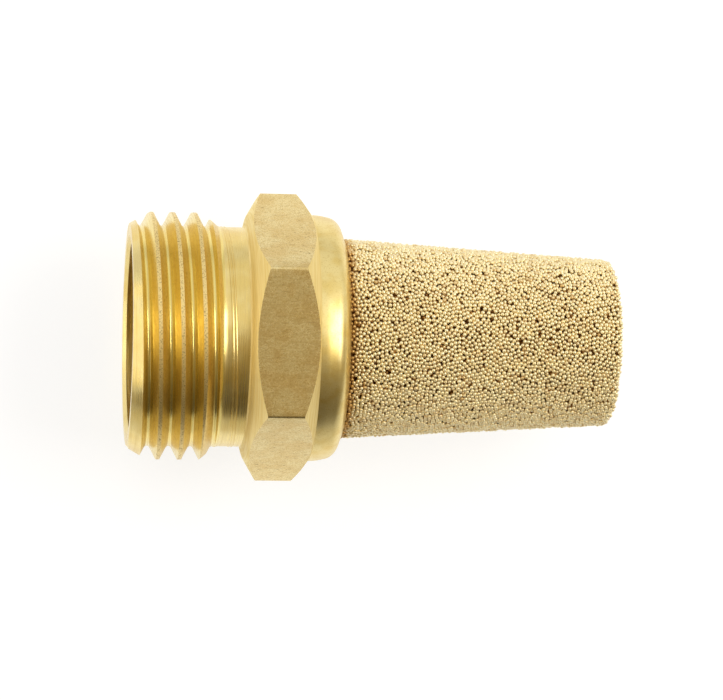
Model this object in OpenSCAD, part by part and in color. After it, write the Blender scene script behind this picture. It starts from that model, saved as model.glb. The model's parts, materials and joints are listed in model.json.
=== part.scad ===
// Pneumatic muffler: a brass screw-in body with a sintered bronze cup held by its rolled lip.
// The common axis lies along X. The inlet is at X = 0 and the closed end of the cup points to +X.
// Z is up and the part lies on one flat of its hexagon.

/* [Thread] */
// Outside diameter of the pipe thread (half-inch parallel pipe thread, lower end of its limits)
thread_od = 20.7; // [20.67:0.01:20.95]
// Distance from one thread crest to the next
thread_pitch = 1.814; // [1.6:0.001:2]
// Depth of the thread, crest to root
thread_depth = 1.16; // [0.9:0.01:1.2]
// Width of the flat left on each crest
crest_land = 0.38; // [0.2:0.01:0.5]
// Number of full-height crests
full_crests = 3; // [2:1:5]
// Radius of the end face, where the lead chamfer starts
end_face_radius = 9.38; // [9:0.01:9.6]

/* [Hexagon] */
// Distance across the flats
across_flats = 21; // [21:0.1:24]
// Length of the hexagon along its corners
corner_length = 2.96; // [2:0.01:8]
// Angle of the chamfer on the thread side, from the face
thread_side_chamfer = 30; // [20:1:40]
// Angle of the chamfer on the cup side, from the face
cup_side_chamfer = 36; // [25:1:45]
// Length of the undercut between the thread and the hexagon
neck_length = 2.4; // [1.5:0.1:5]

/* [Collar] */
// Outside diameter of the collar beside the hexagon
collar_od = 20.7; // [20.4:0.1:21]
// Outside diameter of the collar where its rounded edge starts
collar_front_od = 20.4; // [20:0.1:20.4]
// Length of the collar, from the hexagon's chamfer to the tip of the lip
collar_length = 2.62; // [2.4:0.01:4]
// Radius of the rounded edge of the rolled lip
lip_round = 1.25; // [0.8:0.05:1.3]
// Inside diameter of the lip, where it closes on the cup
lip_id = 16.9; // [16.8:0.1:17.2]

/* [Bore] */
// Diameter of the air passage
bore_d = 16.2; // [14:0.1:16.3]
// Size of the chamfer at the mouth of the air passage
bore_chamfer = 0.3; // [0.1:0.05:0.5]
// Diameter of the pocket that holds the flange of the cup
pocket_d = 18.5; // [18:0.1:18.6]

/* [Cup] */
// How far the cup stands out of the lip
cup_reach = 23; // [10:0.5:40]
// Diameter of the closed end of the cup
cup_end_d = 14.14; // [12:0.01:16]
// Thickness of the porous wall at the flange
cup_wall = 2; // [1.5:0.1:3]
// Thickness of the closed end
cup_end_wall = 2.4; // [1.5:0.1:4]
// Radius of the rounded edge of the closed end
cup_edge_round = 0.45; // [0.2:0.05:1]
// Length of the flange that sits in the pocket
flange_length = 1.7; // [1:0.1:1.8]

/* [Hidden] */
$fn = 96;

// Half of the 55 degree thread angle
flank_angle = 27.5;
// Angle of the lead chamfer, from the axis
lead_angle = 30;
// Radial gap that keeps the two pieces' faces apart
fit_gap = 0.02;
// Extra length that makes a cut run past a face
past = 1;
// Steps in a rounded edge
round_steps = 8;
// Distance from the lead chamfer's top to the first full crest
lead_gap = 0.28;
// Distance from the last groove to the neck
run_out = 0.5;
// Height and length of the steep shoulder between the neck and the hexagon's chamfer
shoulder_height = 1;
shoulder_length = 0.33;
// Distance from the tip of the lip back to where its rounded edge starts
lip_front_length = 1.45;
// The rounded edge turns through this angle before the lip's flat front face
lip_turn = 62;
// Thickness of the lip's nose on the cup, and the width of its flat
nose_length = 0.3;
nose_width = 0.12;
// Length of the slope under the lip that holds the flange
slope_length = 0.75;
// Chamfer between the wall and the end of the cup's cavity
cavity_chamfer = 0.6;

thread_r = thread_od / 2;
root_r = thread_r - thread_depth;
flank = thread_depth * tan(flank_angle);
lead_length = (thread_r - end_face_radius) / tan(lead_angle);

// The full crests follow the lead chamfer, and the neck follows the last groove
first_crest = lead_length + crest_land / 2 + lead_gap;
last_crest = first_crest + (full_crests - 1) * thread_pitch;
neck_start = last_crest + crest_land / 2 + flank + run_out;
neck_end = neck_start + neck_length;

// The shoulder rises steeply from the neck, and then the chamfer runs out to the corners
corner_r = across_flats / sqrt(3);
shoulder_r = root_r + shoulder_height;
chamfer_start = neck_end + shoulder_length;
corner_start = chamfer_start + (corner_r - shoulder_r) * tan(thread_side_chamfer);
corner_end = corner_start + corner_length;
collar_r = collar_od / 2;
collar_start = corner_end + (corner_r - collar_r) * tan(cup_side_chamfer);

lip_tip = collar_start + collar_length;
lip_r = lip_id / 2;
front_r = collar_front_od / 2;
front_x = lip_tip - lip_front_length;
bore_r = bore_d / 2;
pocket_r = pocket_d / 2;

// The cup's flange fills the pocket up to the slope under the lip
flange_r = pocket_r - fit_gap;
slope_end = lip_tip - nose_length;
slope_start = slope_end - slope_length;
pocket_floor = slope_start - flange_length;
cup_base_r = lip_r - fit_gap;
cup_end_r = cup_end_d / 2;
cup_tip = lip_tip + cup_reach;
cup_taper = (cup_base_r - cup_end_r) / (cup_tip - slope_end);
cavity_r = cup_base_r - cup_wall;
cavity_tip = cup_tip - cup_end_wall;
cavity_tip_r = cavity_r - cup_taper * (cavity_tip - slope_end);

// Points [x, r] of a quarter-like arc about a centre, from one angle to another
function arc(centre, radius, from, to) =
    [for (i = [0 : round_steps])
        let (a = from + (to - from) * i / round_steps)
        centre + radius * [cos(a), sin(a)]];

// Points of one full-height crest, centred on x
function crest(x) = [
    [x - crest_land / 2 - flank, root_r],
    [x - crest_land / 2, thread_r],
    [x + crest_land / 2, thread_r],
    [x + crest_land / 2 + flank, root_r]
];

// Turns an outline of [x, r] points about the X axis
module turned(outline) {
    rotate([0, 90, 0])
        rotate_extrude()
            polygon([for (p = outline) [p[1], p[0]]]);
}

// The first crest is cut down by the lead chamfer
lead_crest_x = first_crest - thread_pitch;
lead_cut = (lead_crest_x + crest_land / 2) * tan(lead_angle);
lead_crest_r = end_face_radius + lead_cut;
lead_flank = (lead_crest_r - root_r) * tan(flank_angle);

shank_outline = concat(
    [[0, 0], [0, end_face_radius],
     [lead_crest_x + crest_land / 2, lead_crest_r],
     [lead_crest_x + crest_land / 2 + lead_flank, root_r]],
    [for (i = [0 : full_crests - 1]) each crest(first_crest + i * thread_pitch)],
    [[neck_end, root_r], [neck_end, 0]]
);

hexagon_outline = [
    [neck_end, 0],
    [neck_end, root_r],
    [chamfer_start, shoulder_r],
    [corner_start + past * tan(thread_side_chamfer), corner_r + past],
    [corner_end - past * tan(cup_side_chamfer), corner_r + past],
    [collar_start, collar_r],
    [collar_start, 0]
];

collar_outline = concat(
    [[collar_start, 0], [collar_start, collar_r]],
    arc([front_x, front_r - lip_round], lip_round, 90, 90 - lip_turn),
    [[lip_tip, lip_r + nose_width], [lip_tip, 0]]
);

passage_outline = [
    [-past, 0],
    [-past, bore_r + bore_chamfer + past],
    [bore_chamfer, bore_r],
    [pocket_floor, bore_r],
    [pocket_floor, pocket_r],
    [slope_start, pocket_r],
    [slope_end, lip_r],
    [lip_tip + past, lip_r],
    [lip_tip + past, 0]
];

cup_outline = concat(
    [[pocket_floor, cavity_r + cup_taper], [pocket_floor, flange_r],
     [slope_start, flange_r], [slope_end, cup_base_r]],
    arc([cup_tip - cup_edge_round, cup_end_r - cup_edge_round], cup_edge_round, 90, 0),
    [[cup_tip, 0], [cavity_tip, 0], [cavity_tip, cavity_tip_r - cavity_chamfer],
     [cavity_tip - cavity_chamfer, cavity_tip_r]]
);

// Brass body: threaded shank, neck, hexagon and collar turned from one bar, then bored through
module threaded_body() {
    color("goldenrod")
        difference() {
            union() {
                turned(shank_outline);
                intersection() {
                    turned(hexagon_outline);
                    rotate([0, 90, 0])
                        rotate([0, 0, 30])
                            cylinder(r = corner_r, h = collar_start + past, $fn = 6);
                }
                turned(collar_outline);
            }
            turned(passage_outline);
        }
}

// Sintered bronze cup: a tapered tube with a closed end, and a flange gripped by the lip
module sintered_cup() {
    color("burlywood")
        turned(cup_outline);
}

threaded_body();
sintered_cup();
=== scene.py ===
# %% [markdown]
# # Pneumatic muffler
# A muffler like this screws into the exhaust port of an air valve and quietens the air that
# leaves it. It has two pieces. A brass body is turned from hexagonal bar, threaded, and bored
# through. A cup of sintered bronze, thousands of little balls fused at their contacts, lets
# the air out through its wall. The body's lip is rolled over the cup's flange and never
# comes off again. The body is made here by turning, milling and thread cutting, much as in
# the workshop, and the cup is made of real balls.

# %% Load the frame
import json
import math

import bmesh
import bpy
import numpy as np
from mathutils import Matrix, Vector, kdtree

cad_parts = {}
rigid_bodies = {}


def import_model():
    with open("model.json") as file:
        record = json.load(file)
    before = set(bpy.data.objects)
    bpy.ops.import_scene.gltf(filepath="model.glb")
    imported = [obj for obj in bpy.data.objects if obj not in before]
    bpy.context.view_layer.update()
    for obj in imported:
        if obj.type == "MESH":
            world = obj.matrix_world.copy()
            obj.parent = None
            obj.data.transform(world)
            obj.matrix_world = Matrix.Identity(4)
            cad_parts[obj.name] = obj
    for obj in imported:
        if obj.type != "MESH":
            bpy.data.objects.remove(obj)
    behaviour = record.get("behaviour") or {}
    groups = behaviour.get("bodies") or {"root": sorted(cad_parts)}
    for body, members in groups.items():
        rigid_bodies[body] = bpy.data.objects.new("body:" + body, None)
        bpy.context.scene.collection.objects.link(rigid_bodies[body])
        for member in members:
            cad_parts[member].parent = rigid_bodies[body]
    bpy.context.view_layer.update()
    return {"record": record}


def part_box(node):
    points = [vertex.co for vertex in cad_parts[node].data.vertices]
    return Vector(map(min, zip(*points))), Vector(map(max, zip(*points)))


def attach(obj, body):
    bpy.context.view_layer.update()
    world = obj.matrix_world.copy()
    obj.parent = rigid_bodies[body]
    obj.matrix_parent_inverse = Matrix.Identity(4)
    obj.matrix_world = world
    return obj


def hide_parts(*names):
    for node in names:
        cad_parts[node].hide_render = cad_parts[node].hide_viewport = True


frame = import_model()
MM = 0.001

# %% [markdown]
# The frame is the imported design: the inlet face is at X = 0 and the closed end of the cup
# points to +X. Lengths below are in millimetres, because that is how such parts are drawn,
# and each finished mesh is scaled to metres once. Whatever the frame can tell is read from
# it, so the looks can't drift from the design.

# %% Read the sizes that the design gives
body_low, body_high = (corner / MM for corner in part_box("threaded_body"))
cup_low, cup_high = (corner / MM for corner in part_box("sintered_cup"))
mounts = {m["name"]: m for m in frame["record"]["mounts"]}
crest_r = mounts["port_thread"]["dims"]["r_mm"]
bore_r = mounts["inlet_bore"]["dims"]["r_mm"]
corner_r = body_high.y
lip_tip = body_high.x
pocket_floor = cup_low.x
flange_r = cup_high.z
cup_tip = cup_high.x
print(f"crest radius {crest_r:.2f}, bore {bore_r:.2f}, lip at {lip_tip:.2f}, cup tip {cup_tip:.2f}")

# %% [markdown]
# The camera comes first, so every later look is judged from the right place. It looks down
# on the part as it lies on a table, from a quarter of a metre, through a long lens. The part
# leans a little on its hexagon, and here the camera leans instead.

# %% Camera
lean = math.radians(7.35)
turn_about_axis = math.radians(2.39)
picture_turn = math.radians(0.9)
aim_point = Vector((20, 0, 0))
sideways = Vector((-0.29, -0.93, 253.2))
rotation = (
    Matrix.Rotation(-turn_about_axis, 4, "X")
    @ Matrix.Rotation(-lean, 4, "Y")
    @ Matrix.Rotation(picture_turn, 4, "Z")
)
lens = bpy.data.cameras.new("long_lens")
lens.lens = 149.36
lens.sensor_width = 36
camera = bpy.data.objects.new("camera", lens)
camera.matrix_world = Matrix.Translation((aim_point + rotation @ sideways) * MM) @ rotation
bpy.context.scene.collection.objects.link(camera)
bpy.context.scene.camera = camera
print("camera at, mm:", [round(c / MM, 1) for c in camera.matrix_world.translation])

# %% [markdown]
# ## Tools of the workshop
# Four helpers do the making. An arc gives the points of a round edge. A lathe spins an
# outline about the axis. A screw sweep carries a section along a helix, as the thread
# cutter's path does. A cut applies one exact Boolean, which is how a mill or a thread tool
# takes metal away.


# %% Arc, lathe and screw sweep
def arc(centre_x, centre_r, radius, start, end, steps=6):
    """Points (x, r) of an arc. Angles are in degrees, from +X towards larger r."""
    angles = np.radians(np.linspace(start, end, steps + 1))
    return [(centre_x + radius * math.cos(a), centre_r + radius * math.sin(a)) for a in angles]


def lathe(outline, steps=240, closed=True):
    """Spins an outline of (x, r) points about the X axis."""
    bm = bmesh.new()
    points = [bm.verts.new((x, r, 0)) for x, r in outline]
    pairs = zip(points, points[1:] + points[:1]) if closed else zip(points, points[1:])
    edges = [bm.edges.new(pair) for pair in pairs]
    bmesh.ops.spin(bm, geom=points + edges, cent=(0, 0, 0), axis=(1, 0, 0), dvec=(0, 0, 0),
                   angle=math.tau, steps=steps, use_merge=True)
    bmesh.ops.remove_doubles(bm, verts=bm.verts, dist=0.0001)
    bmesh.ops.recalc_face_normals(bm, faces=bm.faces)
    return bm


def screw_sweep(section, start_x, turns, pitch, steps_per_turn=120):
    """Carries a closed section of (x, r) points along a right-hand helix about the X axis."""
    bm = bmesh.new()
    bm.faces.new([bm.verts.new((start_x + x, r, 0)) for x, r in section])
    bmesh.ops.spin(bm, geom=[*bm.verts, *bm.edges, *bm.faces], cent=(0, 0, 0), axis=(1, 0, 0),
                   dvec=(pitch / steps_per_turn, 0, 0), angle=turns * math.tau,
                   steps=round(turns * steps_per_turn), use_merge=False)
    bmesh.ops.recalc_face_normals(bm, faces=bm.faces)
    return bm


# %% Objects from bmesh, and the cut
def as_object(bm, name):
    """Makes a bmesh an object of that name in the scene."""
    mesh = bpy.data.meshes.new(name)
    bm.to_mesh(mesh)
    bm.free()
    made = bpy.data.objects.new(name, mesh)
    bpy.context.scene.collection.objects.link(made)
    return made


def apply_modifiers(piece):
    """Makes the piece's modifiers part of its mesh."""
    graph = bpy.context.evaluated_depsgraph_get()
    rough_mesh = piece.data
    piece.data = bpy.data.meshes.new_from_object(piece.evaluated_get(graph))
    piece.data.name = piece.name
    piece.modifiers.clear()
    bpy.data.meshes.remove(rough_mesh)


def cut(piece, tool, operation):
    """Applies one exact Boolean to the piece and throws the tool away."""
    boolean = piece.modifiers.new(operation, "BOOLEAN")
    boolean.operation = operation
    boolean.solver = "EXACT"
    boolean.object = tool
    apply_modifiers(piece)
    bpy.data.objects.remove(tool)
    print(f"{piece.name}: {operation.lower()} leaves {len(piece.data.polygons)} faces")


# %% [markdown]
# ## Brass body
# The real body starts as hexagonal brass bar. A lathe turns the shank, the neck, the two
# chamfers and the collar, and the thread is cut last. The blank is one closed outline, bore
# and pocket included, spun about the axis. It could be a stack of cylinders, but one outline
# keeps every fillet and the rolled lip true.

# %% Outline of the turned blank
thread_pitch = 1.814
crest_land = 0.32
half_thread_angle = math.radians(27.5)
lead_angle = math.radians(30)
end_face_r = 9.38
lead_length = (crest_r - end_face_r) / math.tan(lead_angle)
run_out_x = 6.05
neck_r = 9.2
neck_end = 9.6
neck_corner = 0.12
shoulder_x = 9.9
shoulder_round = 0.06
# The thread side's chamfer passes through this place, and its slope gives the rest
chamfer_x = 9.8
chamfer_r = 10.19
thread_side_chamfer = math.tan(math.radians(30))
cup_side_chamfer = math.tan(math.radians(36))
corner_length = 2.96
corner_start = chamfer_x + (corner_r - chamfer_r) * thread_side_chamfer
corner_end = corner_start + corner_length
collar_start = corner_end + (corner_r - crest_r) * cup_side_chamfer
shoulder_r = corner_r - (corner_start - shoulder_x) / thread_side_chamfer
past = 1.0

fillet_r = 0.85
fillet_length = 1.65
fillet_end = run_out_x + fillet_length
shank = [
    (0, end_face_r),
    (lead_length, crest_r),
    (run_out_x, crest_r),
    *arc(fillet_end, neck_r + fillet_r, fillet_r, 220, 270),
    (neck_end - neck_corner, neck_r),
    (neck_end, neck_r + neck_corner),
    (shoulder_x - shoulder_round, shoulder_r - 2 * shoulder_round),
    (shoulder_x, shoulder_r),
]
hexagon = [
    (corner_start + past * thread_side_chamfer, corner_r + past),
    (corner_end - past * cup_side_chamfer, corner_r + past),
]
print(f"hexagon from {corner_start:.2f} to {corner_end:.2f}, collar from {collar_start:.2f}")

# %% [markdown]
# The lip is the only part of the body that isn't cut: a die rolls it inwards over the cup's
# flange. So its edge is a large soft round that ends in a thin, blunt tip on the cup. Behind
# it the pocket holds the flange, with a slope where the lip bears on it.

# %% Outline of the collar, the lip and the passage
lip_r = 8.45
collar_front = lip_tip - 1.45
collar_front_r = 10.2
lip_round = 1.25
nose_round = 0.12
nose_start = lip_tip - 0.3
slope_start = lip_tip - 1.05
fit_gap = 0.02
pocket_r = flange_r + fit_gap
mouth_chamfer = 0.3
collar = [
    (collar_start, crest_r),
    (collar_start + 0.45, crest_r - 0.01),
    (collar_start + 0.8, crest_r - 0.05),
    *arc(collar_front, collar_front_r - lip_round, lip_round, 82, 28, steps=12),
    *arc(lip_tip - nose_round, lip_r + nose_round + 0.01, nose_round, 20, -80, steps=5),
]
passage = [
    (nose_start, lip_r),
    (slope_start, pocket_r),
    (pocket_floor, pocket_r),
    (pocket_floor, bore_r),
    (mouth_chamfer, bore_r),
    (0, bore_r + mouth_chamfer),
]
brass_body = as_object(lathe(shank + hexagon + collar + passage), "brass_body")
print(f"blank: {len(brass_body.data.polygons)} faces")

# %% [markdown]
# The blank meets the hexagonal bar. A prism could be modelled face by face, but keeping only
# what blank and bar share gives the curved edges between chamfer and flat for nothing, as
# the lathe tool does on the real bar. Drawn bar has lightly rounded corners, so the prism's
# long edges are bevelled first. They are what catches the light between two flats.

# %% Keep what lies inside the hexagonal bar
corner_bevel = 0.16
bar = bmesh.new()
bar_length = lip_tip + 2 * past
bmesh.ops.create_cone(bar, cap_ends=True, segments=6, radius1=corner_r, radius2=corner_r,
                      depth=bar_length)
bmesh.ops.rotate(bar, verts=bar.verts, cent=(0, 0, 0), matrix=Matrix.Rotation(math.pi / 2, 3, "Y"))
bmesh.ops.translate(bar, verts=bar.verts, vec=(lip_tip / 2, 0, 0))
long_edges = [e for e in bar.edges if abs(e.verts[0].co.x - e.verts[1].co.x) > past]
bmesh.ops.bevel(bar, geom=long_edges, offset=corner_bevel, offset_type="OFFSET", segments=4,
                profile=0.5, affect="EDGES", material=-1)
bmesh.ops.recalc_face_normals(bar, faces=bar.faces)
print("bar, widest in Y and Z:", [round(max(v.co[i] for v in bar.verts), 3) for i in (1, 2)])
cut(brass_body, as_object(bar, "bar"), "INTERSECT")

# %% [markdown]
# The thread is a true right-hand helix with 55 degree flanks. One way is to model a crest
# and wind it round the shank. Cutting the groove instead is simpler and truer: the lead
# chamfer, the first part-height crest and the run-out into the neck all come out by
# themselves. The groove's bottom is one small round, as the tool's tip leaves it.

# %% Cut the thread
root_r = neck_r + 0.02
overlap = 0.05
groove_half_width = (thread_pitch - crest_land) / 2
root_half_width = groove_half_width - (crest_r - root_r) * math.tan(half_thread_angle)
tip_drop = root_half_width / math.tan(half_thread_angle)
root_round = tip_drop / (1 / math.sin(half_thread_angle) - 1)
clear_half_width = groove_half_width + overlap * math.tan(half_thread_angle)
flank_end = 90 - math.degrees(half_thread_angle)
groove = [
    (-clear_half_width, crest_r + 10 * overlap),
    (-clear_half_width, crest_r + overlap),
    *arc(0, root_r + root_round, root_round, 270 - flank_end, 270 + flank_end, steps=8),
    (clear_half_width, crest_r + overlap),
    (clear_half_width, crest_r + 10 * overlap),
]
full_groove_x = 2.627
first_groove_x = full_groove_x - 2 * thread_pitch
thread_turns = 5.25
thread_path = screw_sweep(groove, first_groove_x, thread_turns, thread_pitch)
thread_tool = as_object(thread_path, "thread_tool")
cut(brass_body, thread_tool, "DIFFERENCE")

# %% [markdown]
# As the thread tool leaves the work it drags two fine burrs round the neck, one from each
# side of its tip. They are a few hundredths of a millimetre high, but they show as a pair
# of bright lines that wind with the thread.

# %% Raise the tool's burrs on the neck
burr_height = 0.06
ridge_centre = 0.13
ridge_half_width = 0.11
burr_start_x = 7.78
burr_turns = 0.8
burr_foot = neck_r - 0.01
burr_root = neck_r - 0.1
one_ridge = [(-1.0, 0), (-0.6, 0.7), (0, 1.0), (0.6, 0.7), (1.0, 0)]
burr = [(-ridge_centre - ridge_half_width, burr_root)]
for centre in (-ridge_centre, ridge_centre):
    burr += [(centre + ridge_half_width * x, burr_foot + burr_height * h) for x, h in one_ridge]
burr.append((ridge_centre + ridge_half_width, burr_root))
burr_tool = as_object(screw_sweep(burr, burr_start_x, burr_turns, thread_pitch), "burr_tool")
cut(brass_body, burr_tool, "UNION")

# %% [markdown]
# ## Colours and nodes
# Every colour below is an sRGB hex value, turned to linear by one function. One function adds
# a node with its settings and links. A metal's colour is what it reflects head on, and clean
# brass gives back nearly all red, most green and under half the blue.


# %% Colour and node helpers
def linear(hex_colour, alpha=1.0):
    """Turns an sRGB hex colour to linear values."""
    parts = [int(hex_colour[i:i + 2], 16) / 255 for i in (1, 3, 5)]
    return (*[p / 12.92 if p <= 0.04045 else ((p + 0.055) / 1.055) ** 2.4 for p in parts], alpha)


def add(tree, kind, inputs=None, **settings):
    """Adds a node. Settings go on the node, and inputs on its sockets, as values or as links."""
    made = tree.nodes.new(kind)
    for name, value in settings.items():
        setattr(made, name, value)
    for name, value in (inputs or {}).items():
        if isinstance(value, bpy.types.NodeSocket):
            tree.links.new(value, made.inputs[name])
        else:
            made.inputs[name].default_value = value
    return made


def new_metal(name, roughness):
    """A material with one metal shader, and the shader itself."""
    made = bpy.data.materials.new(name)
    made.use_nodes = True
    tree = made.node_tree
    tree.nodes.clear()
    shader = add(tree, "ShaderNodeBsdfPrincipled", {"Metallic": 1.0, "Roughness": roughness})
    add(tree, "ShaderNodeOutputMaterial", {"Surface": shader.outputs["BSDF"]})
    return made, tree, shader


def mixed(tree, factor, first, second):
    """The socket of a colour that goes from first to second."""
    mix = add(tree, "ShaderNodeMix", data_type="RGBA")
    tree.links.new(factor, mix.inputs[0])
    for socket, colour in ((mix.inputs[6], first), (mix.inputs[7], second)):
        if isinstance(colour, bpy.types.NodeSocket):
            tree.links.new(colour, socket)
        else:
            socket.default_value = colour
    return mix.outputs[2]


def stretched_noise(tree, stretch, grain, detail=2.0, rough=0.5):
    """Noise with grains of that size in mm, on object coordinates scaled by stretch."""
    place = add(tree, "ShaderNodeTexCoord").outputs["Object"]
    scaled = add(tree, "ShaderNodeVectorMath", {0: place, 1: stretch}, operation="MULTIPLY")
    noise = add(tree, "ShaderNodeTexNoise",
                {"Vector": scaled.outputs[0], "Scale": 1 / (grain * MM), "Detail": detail,
                 "Roughness": rough})
    return noise.outputs["Fac"]


def ranged(tree, value, low, high, to_low=0.0, to_high=1.0):
    """A smooth step of value from low to high."""
    step = add(tree, "ShaderNodeMapRange",
               {"Value": value, "From Min": low, "From Max": high, "To Min": to_low,
                "To Max": to_high}, interpolation_type="SMOOTHSTEP")
    return step.outputs["Result"]


def ring_noise(tree, feed, run=0.02):
    """Noise that follows a turning tool's rings: fine along X and the radius, long round the axis."""
    place = add(tree, "ShaderNodeTexCoord").outputs["Object"]
    part = add(tree, "ShaderNodeSeparateXYZ", {"Vector": place})
    across = add(tree, "ShaderNodeVectorMath", {0: place, 1: (0, 1, 1)}, operation="MULTIPLY")
    radius = add(tree, "ShaderNodeVectorMath", {0: across.outputs[0]}, operation="LENGTH")
    rings = add(tree, "ShaderNodeCombineXYZ", {"X": part.outputs["X"], "Y": radius.outputs["Value"]})
    drift = add(tree, "ShaderNodeVectorMath", {0: across.outputs[0], 1: (run, run, run)},
                operation="MULTIPLY")
    where = add(tree, "ShaderNodeVectorMath", {0: rings.outputs[0], 1: drift.outputs[0]},
                operation="ADD")
    noise = add(tree, "ShaderNodeTexNoise",
                {"Vector": where.outputs[0], "Scale": 1 / (feed * MM), "Detail": 2.0})
    return noise.outputs["Fac"]


# %% [markdown]
# ## Finishes of the brass
# All of them are free-cutting brass, and only the tool differs. The turned finish is bright
# with rings as fine as the tool's feed. A lathe feeds about 0.1 mm a turn, and that is just
# coarse enough to show, so it is drawn at its real size.

# %% Turned brass
BRASS = linear("#F0DA94")
BRASS_DEEP = linear("#E8CC7C")
TARNISH = linear("#C4A455")
MARK = linear("#7E622C")


def lathe_turned_brass():
    """Lathe-turned brass: bright, with fine rings and a faint uneven warmth."""
    made, tree, shader = new_metal("lathe_turned_brass", 0.28)
    rings = ring_noise(tree, 0.11)
    warmth = stretched_noise(tree, (1, 1, 1), 2.5)
    colour = mixed(tree, ranged(tree, warmth, 0.4, 0.7), BRASS, BRASS_DEEP)
    colour = mixed(tree, ranged(tree, rings, 0.55, 0.8, 0, 0.35), colour, TARNISH)
    bump = add(tree, "ShaderNodeBump", {"Height": rings, "Strength": 0.35, "Distance": 0.006 * MM})
    tree.links.new(colour, shader.inputs["Base Color"])
    tree.links.new(ranged(tree, rings, 0.3, 0.7, 0.24, 0.34), shader.inputs["Roughness"])
    tree.links.new(bump.outputs["Normal"], shader.inputs["Normal"])
    return made


# %% [markdown]
# The hexagon's flats were never machined. They keep the skin of the drawn bar: matt, with
# lines along the bar from the drawing die, small pits, and scratches from handling.


# %% Drawn flats
def drawn_bar_brass():
    """Skin of drawn bar: matt brass with die lines along X, pits and darker marks."""
    made, tree, shader = new_metal("drawn_bar_brass", 0.32)
    lines = stretched_noise(tree, (0.1, 1, 1), 0.09)
    marks = stretched_noise(tree, (0.5, 1, 1), 0.2, detail=5, rough=0.75)
    grain = stretched_noise(tree, (1, 1, 1), 0.13, detail=4, rough=0.7)
    cloud = stretched_noise(tree, (0.8, 1, 1), 1.6)
    colour = mixed(tree, ranged(tree, cloud, 0.35, 0.7), linear("#EEDAA0"), linear("#E4C98A"))
    colour = mixed(tree, ranged(tree, grain, 0.42, 0.64, 0, 0.6), colour, TARNISH)
    colour = mixed(tree, ranged(tree, lines, 0.56, 0.76, 0, 0.24), colour, MARK)
    colour = mixed(tree, ranged(tree, marks, 0.58, 0.7, 0, 0.7), colour, MARK)
    height = add(tree, "ShaderNodeMath", {0: lines, 1: grain}, operation="ADD")
    bump = add(tree, "ShaderNodeBump",
               {"Height": height.outputs[0], "Strength": 0.4, "Distance": 0.006 * MM})
    tree.links.new(colour, shader.inputs["Base Color"])
    tree.links.new(ranged(tree, marks, 0.45, 0.7, 0.24, 0.36), shader.inputs["Roughness"])
    tree.links.new(bump.outputs["Normal"], shader.inputs["Normal"])
    return made


# %% [markdown]
# The thread tool cuts with one side, so the flanks that face the inlet are smooth and mirror
# their neighbours: that is what makes the grooves look golden. Its back only scrapes the
# other flanks, which stay satin. The crests were left by the first rough cut. They are
# dull, torn and pitted.


# %% Thread flanks and crests
def thread_cut_brass():
    """Flanks from a thread tool: smooth and mirror-like, warm in the grooves."""
    made, tree, shader = new_metal("thread_cut_brass", 0.24)
    rings = ring_noise(tree, 0.09)
    colour = mixed(tree, ranged(tree, rings, 0.35, 0.65), linear("#F2DE8C"), linear("#EAD07A"))
    bump = add(tree, "ShaderNodeBump", {"Height": rings, "Strength": 0.25, "Distance": 0.004 * MM})
    tree.links.new(colour, shader.inputs["Base Color"])
    tree.links.new(ranged(tree, rings, 0.35, 0.7, 0.2, 0.28), shader.inputs["Roughness"])
    tree.links.new(bump.outputs["Normal"], shader.inputs["Normal"])
    return made


def torn_crest_brass():
    """Crests left by the rough cut: dull brass, torn and pitted."""
    made, tree, shader = new_metal("torn_crest_brass", 0.45)
    pits = stretched_noise(tree, (1, 0.7, 0.7), 0.1, detail=3, rough=0.65)
    colour = mixed(tree, ranged(tree, pits, 0.48, 0.7, 0, 0.75), linear("#F0D690"), MARK)
    bump = add(tree, "ShaderNodeBump", {"Height": pits, "Strength": 0.6, "Distance": 0.02 * MM})
    tree.links.new(colour, shader.inputs["Base Color"])
    tree.links.new(ranged(tree, pits, 0.4, 0.65, 0.32, 0.6), shader.inputs["Roughness"])
    tree.links.new(bump.outputs["Normal"], shader.inputs["Normal"])
    return made


def scraped_flank_brass():
    """Flanks that the back of the thread tool scraped: satin, tan, with a fine grain."""
    made, tree, shader = new_metal("scraped_flank_brass", 0.36)
    grain = stretched_noise(tree, (1, 0.5, 0.5), 0.12, detail=3, rough=0.6)
    colour = mixed(tree, ranged(tree, grain, 0.48, 0.72, 0, 0.6), linear("#E6CA7C"), TARNISH)
    bump = add(tree, "ShaderNodeBump", {"Height": grain, "Strength": 0.5, "Distance": 0.012 * MM})
    tree.links.new(colour, shader.inputs["Base Color"])
    tree.links.new(ranged(tree, grain, 0.4, 0.65, 0.3, 0.42), shader.inputs["Roughness"])
    tree.links.new(bump.outputs["Normal"], shader.inputs["Normal"])
    return made


def bored_brass():
    """Wall of the drilled and bored passage: coarse rings, darker than the outer brass."""
    made, tree, shader = new_metal("bored_brass", 0.28)
    rings = ring_noise(tree, 0.22, run=0.05)
    colour = mixed(tree, ranged(tree, rings, 0.4, 0.65), BRASS_DEEP, TARNISH)
    bump = add(tree, "ShaderNodeBump", {"Height": rings, "Strength": 0.5, "Distance": 0.02 * MM})
    tree.links.new(colour, shader.inputs["Base Color"])
    tree.links.new(ranged(tree, rings, 0.35, 0.65, 0.22, 0.38), shader.inputs["Roughness"])
    tree.links.new(bump.outputs["Normal"], shader.inputs["Normal"])
    return made


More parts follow.
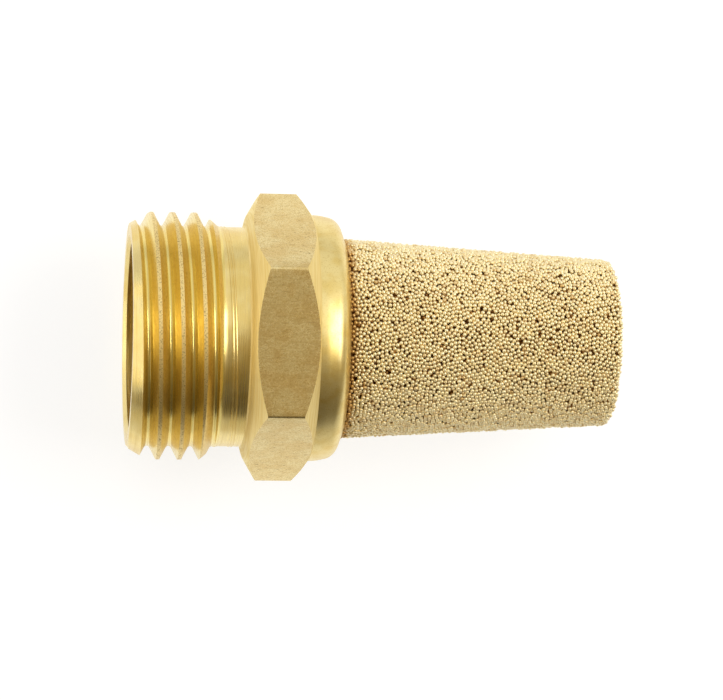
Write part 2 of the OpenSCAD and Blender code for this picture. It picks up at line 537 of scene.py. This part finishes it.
def faced_brass():
    """Chamfers faced by a broad tool that chattered: matt, with coarse rings, and paler than the other
    brass as painted light.
    """
    made, tree, shader = new_metal("faced_brass", 0.62)
    rings = ring_noise(tree, 0.16, run=0.06)
    bump = add(tree, "ShaderNodeBump", {"Height": rings, "Strength": 0.8, "Distance": 0.02 * MM})
    # The pale colour is painted light: it brightens the chamfers.
    colour = mixed(tree, ranged(tree, rings, 0.35, 0.65), linear("#F8E6AA"), BRASS)
    tree.links.new(colour, shader.inputs["Base Color"])
    tree.links.new(ranged(tree, rings, 0.3, 0.7, 0.56, 0.68), shader.inputs["Roughness"])
    tree.links.new(bump.outputs["Normal"], shader.inputs["Normal"])
    return made


def rolled_brass():
    """Collar and lip, pressed over by the rolling die: satin, with a fine leathery grain."""
    made, tree, shader = new_metal("rolled_brass", 0.34)
    grain = stretched_noise(tree, (1, 1, 1), 0.12, detail=3, rough=0.6)
    cloud = stretched_noise(tree, (1, 1, 1), 1.4)
    colour = mixed(tree, ranged(tree, cloud, 0.4, 0.7), BRASS, BRASS_DEEP)
    colour = mixed(tree, ranged(tree, grain, 0.5, 0.75, 0, 0.5), colour, TARNISH)
    bump = add(tree, "ShaderNodeBump", {"Height": grain, "Strength": 0.4, "Distance": 0.008 * MM})
    tree.links.new(colour, shader.inputs["Base Color"])
    tree.links.new(ranged(tree, grain, 0.4, 0.7, 0.3, 0.42), shader.inputs["Roughness"])
    tree.links.new(bump.outputs["Normal"], shader.inputs["Normal"])
    return made


# %% [markdown]
# Each face of the body now gets the finish of the tool that made it. The face's place and
# direction say which one that was, so no face is picked by hand.


# %% Give each face its finish
near = 0.02
thread_end = fillet_end - 0.3


def finish_of(face, centre):
    """The name of the finish that a face of the body has."""
    radius = math.hypot(centre.y, centre.z)
    if radius < bore_r + near:
        return "bored_brass"
    if centre.x < thread_end and radius > root_r - near:
        on_crest = radius > crest_r - 0.03 and abs(face.normal.x) < 0.05
        if on_crest and centre.x > lead_length:
            return "torn_crest_brass"
        on_lead = abs(face.normal.x + math.sin(lead_angle)) < near or centre.x < 0.01
        if on_lead:
            return "lathe_turned_brass"
        return "scraped_flank_brass" if face.normal.x > 0.6 else "thread_cut_brass"
    if neck_end - neck_corner - 0.01 < centre.x < collar_start - 0.001:
        return "drawn_bar_brass" if abs(face.normal.x) < 0.01 else "faced_brass"
    return "rolled_brass" if centre.x > collar_start else "lathe_turned_brass"


makers = (lathe_turned_brass, drawn_bar_brass, thread_cut_brass, torn_crest_brass,
          scraped_flank_brass, bored_brass, faced_brass, rolled_brass)
finishes = {m.name: m for m in (make() for make in makers)}
brass_body.data.materials.clear()
order = {}
for name, material in finishes.items():
    order[name] = len(brass_body.data.materials)
    brass_body.data.materials.append(material)
bm = bmesh.new()
bm.from_mesh(brass_body.data)
too_short = 0.0005
bmesh.ops.dissolve_degenerate(bm, dist=too_short, edges=bm.edges)
for face in bm.faces:
    face.material_index = order[finish_of(face, face.calc_center_median())]
    face.smooth = True
open_edges = sum(1 for e in bm.edges if not e.is_manifold)
bm.to_mesh(brass_body.data)
bm.free()
brass_body.data.transform(Matrix.Scale(MM, 4))
brass_body.data.set_sharp_from_angle(angle=math.radians(24))
print(f"body: {len(brass_body.data.polygons)} faces, {open_edges} open edges")

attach(brass_body, "root")
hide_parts("threaded_body")

# %% [markdown]
# ## Sintered cup
# The real cup is made by pouring bronze powder, screened to balls about a third of a
# millimetre across, into a graphite mould and heating it until the balls fuse where they
# touch. Against the mould they lie in one tight, disordered layer. A bump texture would
# give neither the rough outline nor the true pits, so the layer is made of real balls
# on a porous core, whose dark brown is painted shade for the pits.

# %% Sizes of the cup
bead_r = 0.174
cone_start = nose_start
cone_start_r = lip_r - fit_gap
cup_end_r = 7.07
edge_round = 0.45
wall = 2
end_wall = 2.4
cavity_chamfer = 0.6
cavity_r = cone_start_r - wall
cavity_tip = cup_tip - end_wall
taper = (cone_start_r - cup_end_r) / (cup_tip - cone_start)
cavity_tip_r = cavity_r - taper * (cavity_tip - cone_start)
pit_depth = 0.4
taper_angle = math.degrees(math.atan(taper))
print(f"taper {taper_angle:.2f} degrees a side, cavity radius {cavity_tip_r:.2f} at its end")

# %% [markdown]
# The core carries the balls. It is the cup's own outline, thinned on every free face by
# the depth of the pits, and it keeps the full flange that the lip grips.

# %% Porous core
core_outline = [
    (pocket_floor + pit_depth, cavity_r + taper + pit_depth),
    (pocket_floor + pit_depth, bore_r + 0.2),
    (pocket_floor, bore_r + 0.4),
    (pocket_floor, flange_r),
    (slope_start, flange_r),
    (cone_start, cone_start_r - pit_depth / 2),
    (cone_start + 0.2, cone_start_r - pit_depth),
    (cup_tip - edge_round, cup_end_r - pit_depth),
    (cup_tip - pit_depth, cup_end_r - edge_round),
    (cup_tip - pit_depth, 0),
    (cavity_tip + pit_depth, 0),
    (cavity_tip + pit_depth, cavity_tip_r - cavity_chamfer),
    (cavity_tip - cavity_chamfer, cavity_tip_r + pit_depth),
    (pocket_floor + pit_depth, cavity_r + taper + pit_depth),
]
porous_core = as_object(lathe(core_outline, steps=160, closed=False), "porous_core")
porous_core.data.transform(Matrix.Scale(MM, 4))
porous_core.data.shade_smooth()
porous_core.data.set_sharp_from_angle(angle=math.radians(30))


# %% [markdown]
# Where do the balls lie? Even steps along the wall and the golden angle round it give
# every ball the same area. That is too regular for poured powder, so each place is shaken,
# and then neighbours push each other apart for a few passes until they nearly touch. What
# is left is the disordered, tight layer of the real cup.


# %% Places for the balls
def along(outline):
    """Distance along an outline at each of its points."""
    steps = np.linalg.norm(np.diff(outline, axis=0), axis=1)
    return np.concatenate([[0], np.cumsum(steps)])


def on_wall(outline, reach, angle):
    """Points in 3-D, at a distance along the outline and an angle about the axis."""
    marks = along(outline)
    x = np.interp(reach, marks, outline[:, 0])
    r = np.interp(reach, marks, outline[:, 1])
    return np.column_stack([x, r * np.cos(angle), r * np.sin(angle)]), r


def nearest(points, count):
    """Distance and index of each point's nearest neighbours."""
    tree = kdtree.KDTree(len(points))
    for i, point in enumerate(points):
        tree.insert(point, i)
    tree.balance()
    found = [tree.find_n(point, count + 1)[1:] for point in points]
    index = np.array([[f[1] for f in row] for row in found])
    apart = np.array([[f[2] for f in row] for row in found])
    return index, apart


def pack_balls(outline, ball_r, seed, side, gaps, fill=0.85, passes=10):
    """Places and radii of one disordered layer of balls that lie against a wall.

    The outline is one ball radius from the wall, and side says on which side the wall is:
    1 is outside the outline and -1 is inside it.
    """
    outline = np.array(outline)
    marks = along(outline)
    fine = np.linspace(0, marks[-1], 4000)
    radius = np.interp(fine, marks, outline[:, 1])
    area = np.concatenate([[0], np.cumsum((radius[1:] + radius[:-1]) / 2 * np.diff(fine))])
    count = int(fill * area[-1] * math.tau / (math.pi * ball_r ** 2))
    chance = np.random.default_rng(seed)
    turn = np.arange(count) * math.pi * (3 - math.sqrt(5))
    reach = np.interp((np.arange(count) + 0.5) / count * area[-1], area, fine)
    shake = 0.75 * ball_r
    reach = reach + chance.normal(0, shake, count)
    around_r = np.interp(reach, marks, outline[:, 1] + ball_r)
    turn = turn + chance.normal(0, shake, count) / around_r
    # Neighbours nearer than the wanted distance move part of the way apart in each pass
    wanted = 2.16 * ball_r
    eagerness = 0.4
    for _ in range(passes):
        reach = np.clip(reach, 0, marks[-1])
        points, r = on_wall(outline, reach, turn)
        index, apart = nearest(points, 6)
        push = np.clip(wanted / np.maximum(apart, 1e-6) - 1, 0, 1)[:, :, None]
        shove = ((points[:, None, :] - points[index]) * push).sum(axis=1) * eagerness
        ahead, _ = on_wall(outline, np.clip(reach + 0.01, 0, marks[-1]), turn)
        behind, _ = on_wall(outline, np.clip(reach - 0.01, 0, marks[-1]), turn)
        forward = ahead - behind
        forward /= np.linalg.norm(forward, axis=1)[:, None]
        around = np.column_stack([np.zeros(count), -np.sin(turn), np.cos(turn)])
        reach = reach + (shove * forward).sum(axis=1)
        turn = turn + (shove * around).sum(axis=1) / np.maximum(r, ball_r)
    points, _ = on_wall(outline, np.clip(reach, 0, marks[-1]), turn)
    _, apart = nearest(points, 3)
    size = apart.mean(axis=1) / 2 * chance.normal(1.08, 0.06, count)
    size = np.clip(size, 0.85 * ball_r, 1.2 * ball_r)
    # Most balls touch the wall's line, some lie deeper, and a few stand proud
    depth = size - ball_r + np.clip(chance.normal(0.1, 0.35, count), -0.35, 1) * ball_r
    points = points - np.cross(around, forward) * (side * depth)[:, None]
    # No ball stands out of the cup's two ends
    points[:, 0] = np.clip(points[:, 0], pocket_floor + size, cup_tip - size)
    kept = chance.random(count) > gaps
    return points[kept], size[kept], chance


# %% [markdown]
# One ball is made once, as a coarse sphere, and geometry nodes put a copy at each place,
# turned at random. Each copy carries a tone of its own, because every ball has oxidised and
# polished a little differently. The copies are then made real, in pieces small enough to
# export whole.
# For the second layer the tone is scaled down, as painted shade for the balls beneath.


# %% A ball at each place
def seen_ball():
    """A ball of radius 1 mm in 80 triangles, because it is repeated thousands of times."""
    bm = bmesh.new()
    bmesh.ops.create_icosphere(bm, subdivisions=2, radius=MM)
    return as_object(bm, "seen_ball")


def hidden_ball():
    """A coarser ball of 36 triangles, for layers that are seen only in glimpses."""
    bm = bmesh.new()
    bmesh.ops.create_uvsphere(bm, u_segments=6, v_segments=4, radius=MM)
    return as_object(bm, "hidden_ball")


def scatter_nodes(source):
    """Geometry nodes that put the source ball at each point of a mesh."""
    group = bpy.data.node_groups.new("put_" + source.name, "GeometryNodeTree")
    for side in ("INPUT", "OUTPUT"):
        group.interface.new_socket("Geometry", in_out=side, socket_type="NodeSocketGeometry")
    places = add(group, "NodeGroupInput")
    shape = add(group, "GeometryNodeObjectInfo", {"Object": source})
    size = add(group, "GeometryNodeInputNamedAttribute", {"Name": "size"}, data_type="FLOAT")
    turn = add(group, "FunctionNodeRandomValue", {1: (math.tau,) * 3, "Seed": 5},
               data_type="FLOAT_VECTOR")
    copies = add(group, "GeometryNodeInstanceOnPoints",
                 {"Points": places.outputs[0], "Instance": shape.outputs["Geometry"],
                  "Rotation": turn.outputs[0], "Scale": size.outputs[0]})
    real = add(group, "GeometryNodeRealizeInstances", {"Geometry": copies.outputs[0]})
    add(group, "NodeGroupOutput", {"Geometry": real.outputs[0]})
    return group


def ball_layer(name, places, sizes, tones, nodes):
    """A piece with a real ball at each place."""
    bm = bmesh.new()
    size = bm.verts.layers.float.new("size")
    tone = bm.verts.layers.float.new("tone")
    for place, its_size, its_tone in zip(places, sizes, tones):
        point = bm.verts.new(Vector(place) * MM)
        point[size] = its_size
        point[tone] = its_tone
    piece = as_object(bm, name)
    piece.modifiers.new("balls", "NODES").node_group = nodes
    apply_modifiers(piece)
    piece.data.shade_smooth()
    print(f"{name}: {len(sizes)} balls, {len(piece.data.polygons)} faces")
    return piece


# %% [markdown]
# Outside, the balls' centres follow the mould's wall, one ball radius in: down the taper,
# round the edge and across the end. Inside, they follow the core rod that shaped the cavity.

# %% Outer and inner layers of balls
outer_line = [
    (cone_start - 0.1, cone_start_r - bead_r),
    *arc(cup_tip - edge_round, cup_end_r - edge_round, edge_round - bead_r, 90, 0),
    (cup_tip - bead_r, 0),
]
inner_line = [
    (pocket_floor + bead_r, bore_r + 0.1),
    (pocket_floor + bead_r, cavity_r + taper + bead_r),
    (cavity_tip - cavity_chamfer, cavity_tip_r + bead_r),
    (cavity_tip + bead_r, cavity_tip_r - cavity_chamfer),
    (cavity_tip + bead_r, 0),
]
layer_step = 1.25 * bead_r
second_line = [
    (x - 0.6 * bead_r, r - layer_step) if r > layer_step else (x - layer_step, 0)
    for x, r in outer_line
]
lip_darkening_length = 0.9
bead_pieces = []
for name, line, make_ball, seed, side, gaps, shade, parts in (
        ("outer", outer_line, seen_ball, 11, 1, 0.002, 1.0, 6),
        ("second", second_line, hidden_ball, 13, 1, 0.02, 0.12, 2),
        ("inner", inner_line, hidden_ball, 12, -1, 0.02, 1.0, 2)):
    places, sizes, chance = pack_balls(line, bead_r, seed, side, gaps)
    # For the second layer, shade scales the tones down to dark brown: painted shade for the balls
    # beneath the first layer.
    tones = np.clip(chance.normal(0.86, 0.12, len(sizes)), 0, 1) * shade
    # Balls next to the lip are darker, most of all right at the lip
    near_lip = np.clip((lip_tip + lip_darkening_length - places[:, 0]) / lip_darkening_length, 0, 1)
    tones = tones * (1 - 0.7 * near_lip)
    source = make_ball()
    nodes = scatter_nodes(source)
    by_x = np.argsort(places[:, 0], kind="stable")
    for i, chosen in enumerate(np.array_split(by_x, parts)):
        bead_pieces.append(ball_layer(f"{name}_balls_{i + 1}", places[chosen], sizes[chosen],
                                      tones[chosen], nodes))
    bpy.data.objects.remove(source)

# %% [markdown]
# Sintered bronze is a pale champagne. Light that goes down between the balls strikes bronze
# several times and comes back brown, and that shade is painted: the layer beneath gets dark
# brown tones and the core is dark brown. The balls are matt with a soft glint, because
# furnace gas leaves a fine grain on them.


# %% Sintered bronze
def sintered_bronze():
    """Furnace-clean bronze balls: pale, softly glinting, each with its own tone. Low tones give painted
    shade to the layer beneath.
    """
    made, tree, shader = new_metal("sintered_bronze_balls", 0.34)
    tone = add(tree, "ShaderNodeAttribute", attribute_name="tone", attribute_type="GEOMETRY")
    grain = stretched_noise(tree, (1, 1, 1), 0.12)
    pale = mixed(tree, ranged(tree, grain, 0.35, 0.65), linear("#FFF6CE"), linear("#FFE6A8"))
    skin = mixed(tree, ranged(tree, tone.outputs["Fac"], 0.3, 0.9), linear("#CCA058"), pale)
    # Low tones reach this dark brown: the layer beneath gets it as painted shade, and the balls next to
    # the lip get part of it.
    colour = mixed(tree, ranged(tree, tone.outputs["Fac"], 0.05, 0.3), linear("#94642A"), skin)
    shader.inputs["Metallic"].default_value = 0.7
    bump = add(tree, "ShaderNodeBump", {"Height": grain, "Strength": 0.3, "Distance": 0.01 * MM})
    tree.links.new(colour, shader.inputs["Base Color"])
    tree.links.new(bump.outputs["Normal"], shader.inputs["Normal"])
    return made


def deep_bronze():
    """The porous core, seen only in the pits: balls of the next layers drawn as bumps. Its dark brown,
    darkest between the bumps, is painted shade.
    """
    made, tree, shader = new_metal("deep_bronze", 0.5)
    place = add(tree, "ShaderNodeTexCoord").outputs["Object"]
    cells = add(tree, "ShaderNodeTexVoronoi", {"Vector": place, "Scale": 1 / (2 * bead_r * MM)})
    height = ranged(tree, cells.outputs["Distance"], 0, 0.6, 1, 0)
    # Dark brown, darker between the cells: painted shade of the pits.
    colour = mixed(tree, height, linear("#5A3810"), linear("#A87034"))
    bump = add(tree, "ShaderNodeBump", {"Height": height, "Strength": 1.0, "Distance": 0.12 * MM})
    tree.links.new(colour, shader.inputs["Base Color"])
    tree.links.new(bump.outputs["Normal"], shader.inputs["Normal"])
    return made


bronze = sintered_bronze()
porous_core.data.materials.append(deep_bronze())
for piece in bead_pieces:
    piece.data.materials.clear()
    piece.data.materials.append(bronze)
for piece in (porous_core, *bead_pieces):
    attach(piece, "root")
    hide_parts("sintered_cup")

# %% [markdown]
# ## Table and light
# The part lies on a glowing white table, as small shop parts are photographed, so almost no
# shadow falls. One strong soft box hangs over the cup's end. A dimmer one and a low strip
# face the inlet. The far side of the room is a broad pale wall, and the near side is dark.
# Brass is a mirror: what shows on it is this room, and the dark side is what draws the
# thread. Grey cards beside the part would dim what its lower faces mirror, so the table's
# glow falls off there for mirrored light only, and the eye sees one even table and one
# plain backdrop.

# %% Table
table_bm = bmesh.new()
bmesh.ops.create_grid(table_bm, x_segments=1, y_segments=1, size=1.5 / MM)
bmesh.ops.translate(table_bm, verts=table_bm.verts, vec=(0, 0, body_low.z - 0.02))
table = as_object(table_bm, "table")
table.data.transform(Matrix.Scale(MM, 4))
opal = bpy.data.materials.new("opal_table")
opal.use_nodes = True
opal_shader = opal.node_tree.nodes["Principled BSDF"]
opal_shader.inputs["Base Color"].default_value = (0.35, 0.35, 0.35, 1)
opal_shader.inputs["Roughness"].default_value = 0.8
opal_shader.inputs["Specular IOR Level"].default_value = 0.0
opal_shader.inputs["Emission Color"].default_value = (1, 1, 1, 1)
tree = opal.node_tree
table_place = add(tree, "ShaderNodeTexCoord").outputs["Object"]
table_part = add(tree, "ShaderNodeSeparateXYZ", {"Vector": table_place})
table_glow = 0.76
near_glow = ranged(tree, table_part.outputs["Y"], -0.04, -0.03, 0.4, table_glow)
far_loss = ranged(tree, table_part.outputs["Y"], 0.032, 0.06, 0, 0.34)
mirrored = add(tree, "ShaderNodeMath", {0: near_glow, 1: far_loss}, operation="SUBTRACT")
seen = add(tree, "ShaderNodeLightPath").outputs["Is Camera Ray"]
glow = add(tree, "ShaderNodeMapRange",
           {"Value": seen, "To Min": mirrored.outputs[0], "To Max": table_glow})
tree.links.new(glow.outputs[0], opal_shader.inputs["Emission Strength"])
table.data.materials.append(opal)


# %% Lights
def panel(name, lean_x, lean_y, distance, length, width, radiance):
    """A flat light of even radiance. Its place leans from straight up towards +X and +Y."""
    light = bpy.data.lights.new(name, "AREA")
    light.shape = "RECTANGLE"
    light.size = length
    light.size_y = width
    light.energy = radiance * math.pi * length * width
    a, b = math.radians(lean_x), math.radians(lean_y)
    towards = Vector((math.sin(a), math.cos(a) * math.sin(b), math.cos(a) * math.cos(b)))
    made = bpy.data.objects.new(name, light)
    made.location = aim_point * MM + towards * distance
    side = Vector((1, 0, 0)) - towards * towards.x
    side.normalize()
    made.rotation_mode = "QUATERNION"
    made.rotation_quaternion = Matrix((side, towards.cross(side), towards)).transposed().to_quaternion()
    bpy.context.scene.collection.objects.link(made)
    return made


panel("soft_box", lean_x=37, lean_y=10, distance=0.5, length=0.28, width=0.32, radiance=3.7)
panel("side_box", lean_x=-52, lean_y=-14, distance=0.5, length=0.26, width=0.52, radiance=0.82)
panel("low_reflector", lean_x=-78, lean_y=0, distance=0.5, length=0.16, width=0.7, radiance=2.0)

world = bpy.data.worlds.new("room")
bpy.context.scene.world = world
world.use_nodes = True
room = world.node_tree
room.nodes.clear()
view_to = add(room, "ShaderNodeTexCoord").outputs["Generated"]
direction = add(room, "ShaderNodeSeparateXYZ", {"Vector": view_to})
far_side = ranged(room, direction.outputs["Y"], 0.04, 0.3)
far_level = add(room, "ShaderNodeMapRange", {"Value": direction.outputs["X"], "From Min": -0.9,
                                             "From Max": 0.1, "To Min": 0.66, "To Max": 0.95})
near_side = add(room, "ShaderNodeMapRange", {"Value": direction.outputs["Y"], "From Min": -1.0,
                                             "From Max": 0.0, "To Min": 0.07, "To Max": 0.45})
warm = add(room, "ShaderNodeVectorMath", {0: (1.0, 0.82, 0.52), 1: near_side.outputs[0]},
           operation="MULTIPLY")
light_of_room = mixed(room, far_side, warm.outputs[0], far_level.outputs[0])
seen = add(room, "ShaderNodeLightPath").outputs["Is Camera Ray"]
backdrop = mixed(room, seen, light_of_room, (0.92, 0.92, 0.9, 1))
background = add(room, "ShaderNodeBackground", {"Color": backdrop})
add(room, "ShaderNodeOutputWorld", {"Surface": background.outputs[0]})

bpy.context.scene.view_settings.view_transform = "Standard"
